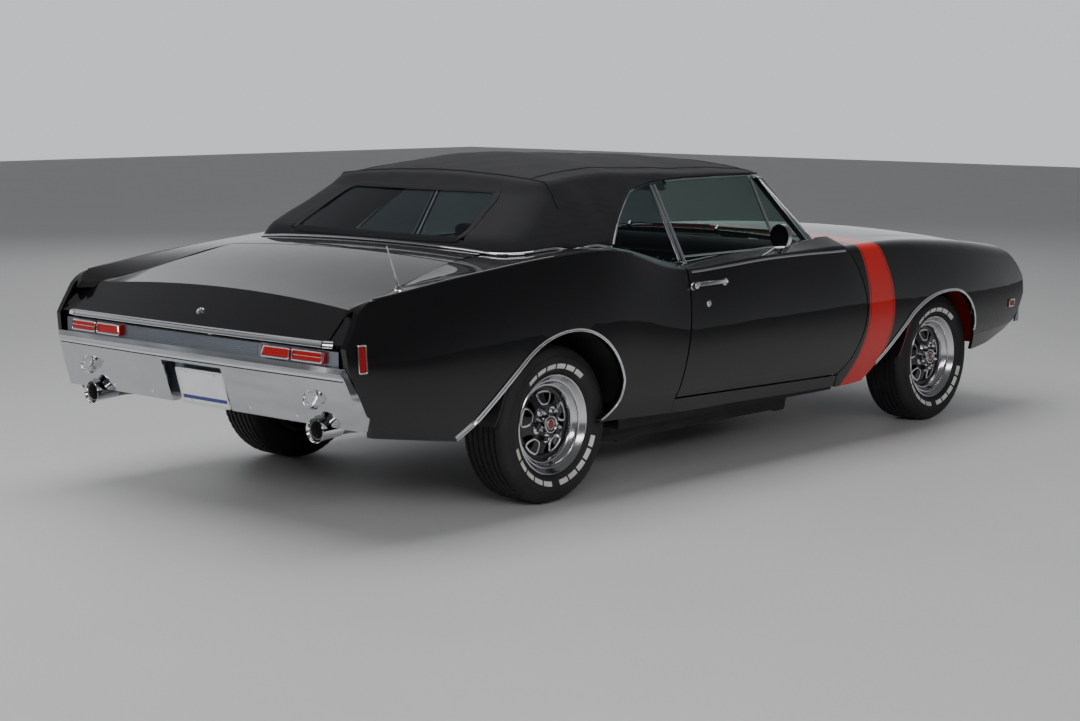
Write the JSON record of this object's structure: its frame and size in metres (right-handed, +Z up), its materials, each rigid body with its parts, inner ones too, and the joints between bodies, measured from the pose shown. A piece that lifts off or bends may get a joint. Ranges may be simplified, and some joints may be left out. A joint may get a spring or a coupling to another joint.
{
  "type": "muscle car",
  "caption": "Two-door convertible muscle car with a raised soft top, opening doors, hood and trunk lid, steered front wheels and four rolling wheels.",
  "frame": {"origin": "on the ground under the middle of the car", "axes": "+X forward, +Y to the car's left, +Z up"},
  "size_m": [4.9537, 1.9066, 1.3727],
  "materials": {
    "black_paint": "deep gloss black enamel with a clear coat",
    "chrome_trim": "bright plating",
    "red_lens": "moulded red lens",
    "plate_white": "white enamel, blank",
    "window_glass": "clear, lightly tinted",
    "top_cloth": "matte blue-black woven top cloth",
    "seat_vinyl": "black grained vinyl",
    "black_plastic": "matte black",
    "underbody_black": "matte black chassis paint",
    "red_liner": "red painted inner fender",
    "cast_metal": "bare casting",
    "wheel_metal": "polished trim ring round a painted centre",
    "tyre_rubber": "black rubber"
  },
  "bodies": {
    "body": {"quarter_panel_left": "black_paint", "quarter_panel_right": "black_paint", "rockers": "black_paint", "fender_left": "black_paint", "fender_right": "black_paint", "rear_deck": "black_paint", "cowl": "black_paint", "header_panel": "black_paint", "front_valance": "black_paint", "tail_panel": "chrome_trim", "rear_bumper": "chrome_trim", "front_bumper": "chrome_trim", "windshield_frame": "chrome_trim", "reversing_lamps": "chrome_trim", "headlamps": "chrome_trim", "exhaust_system": "chrome_trim", "tail_lamps": "red_lens", "side_marker_lamps": "red_lens", "license_plate": "plate_white", "quarter_glass": "window_glass", "windshield": "window_glass", "rear_window": "window_glass", "soft_top": "top_cloth", "front_seats": "seat_vinyl", "rear_seat": "seat_vinyl", "dashboard": "black_plastic", "grille": "black_plastic", "floor_pan": "underbody_black", "rear_wheelhouses": "underbody_black", "chassis_frame": "underbody_black", "fuel_tank": "underbody_black", "rear_axle": "underbody_black", "front_suspension": "underbody_black", "front_liners": "red_liner", "engine_block": "cast_metal"},
    "hood": {"hood": "black_paint"},
    "trunk": {"trunk_lid": "black_paint"},
    "door_left": {"door_left": "black_paint", "door_glass_left": "window_glass", "door_mirror_left": "chrome_trim"},
    "door_right": {"door_right": "black_paint", "door_glass_right": "window_glass", "door_mirror_right": "chrome_trim"},
    "knuckle_left": {"knuckle_left": "cast_metal"},
    "knuckle_right": {"knuckle_right": "cast_metal"},
    "steering_wheel": {"steering_wheel": "black_plastic"},
    "wheel_front_left": {"rim_front_left": "wheel_metal", "tyre_front_left": "tyre_rubber"},
    "wheel_front_right": {"rim_front_right": "wheel_metal", "tyre_front_right": "tyre_rubber"},
    "wheel_rear_left": {"rim_rear_left": "wheel_metal", "tyre_rear_left": "tyre_rubber"},
    "wheel_rear_right": {"rim_rear_right": "wheel_metal", "tyre_rear_right": "tyre_rubber"}
  },
  "joints": [
    {"name": "hood_hinge", "type": "hinge", "parent": "body", "child": "hood", "pos_m": [0.716, 0, 0.968], "axis": [0, -1, 0], "range_deg": [0, 50]},
    {"name": "trunk_hinge", "type": "hinge", "parent": "body", "child": "trunk", "pos_m": [-1.7, 0, 1.012], "axis": [0, 1, 0], "range_deg": [0, 75]},
    {"name": "door_left_hinge", "type": "hinge", "parent": "body", "child": "door_left", "pos_m": [0.905, 0.895, 0.65], "axis": [0, 0, -1], "range_deg": [0, 65]},
    {"name": "door_right_hinge", "type": "hinge", "parent": "body", "child": "door_right", "pos_m": [0.905, -0.895, 0.65], "axis": [0, 0, 1], "range_deg": [0, 65]},
    {"name": "steer_left", "type": "hinge", "parent": "body", "child": "knuckle_left", "pos_m": [1.54, 0.705, 0.32], "axis": [0, 0, 1], "range_deg": [-30, 30]},
    {"name": "steer_right", "type": "hinge", "parent": "body", "child": "knuckle_right", "pos_m": [1.54, -0.705, 0.32], "axis": [0, 0, 1], "range_deg": [-30, 30]},
    {"name": "steering_column", "type": "hinge", "parent": "body", "child": "steering_wheel", "pos_m": [0.25, 0.37, 0.872], "axis": [-0.9272, 0, 0.3746], "range_deg": [-480, 480]},
    {"name": "front_left_spin", "type": "hinge", "parent": "knuckle_left", "child": "wheel_front_left", "pos_m": [1.54, 0.7495, 0.32], "axis": [0, 1, 0], "continuous": true},
    {"name": "rear_left_spin", "type": "hinge", "parent": "body", "child": "wheel_rear_left", "pos_m": [-1.305, 0.7495, 0.32], "axis": [0, 1, 0], "continuous": true},
    {"name": "front_right_spin", "type": "hinge", "parent": "knuckle_right", "child": "wheel_front_right", "pos_m": [1.54, -0.7495, 0.32], "axis": [0, 1, 0], "continuous": true},
    {"name": "rear_right_spin", "type": "hinge", "parent": "body", "child": "wheel_rear_right", "pos_m": [-1.305, -0.7495, 0.32], "axis": [0, 1, 0], "continuous": true}
  ],
  "couplings": [
    {"joint": "steer_right", "follows": "steer_left", "ratio": 1},
    {"joint": "steering_column", "follows": "steer_left", "ratio": 16}
  ]
}
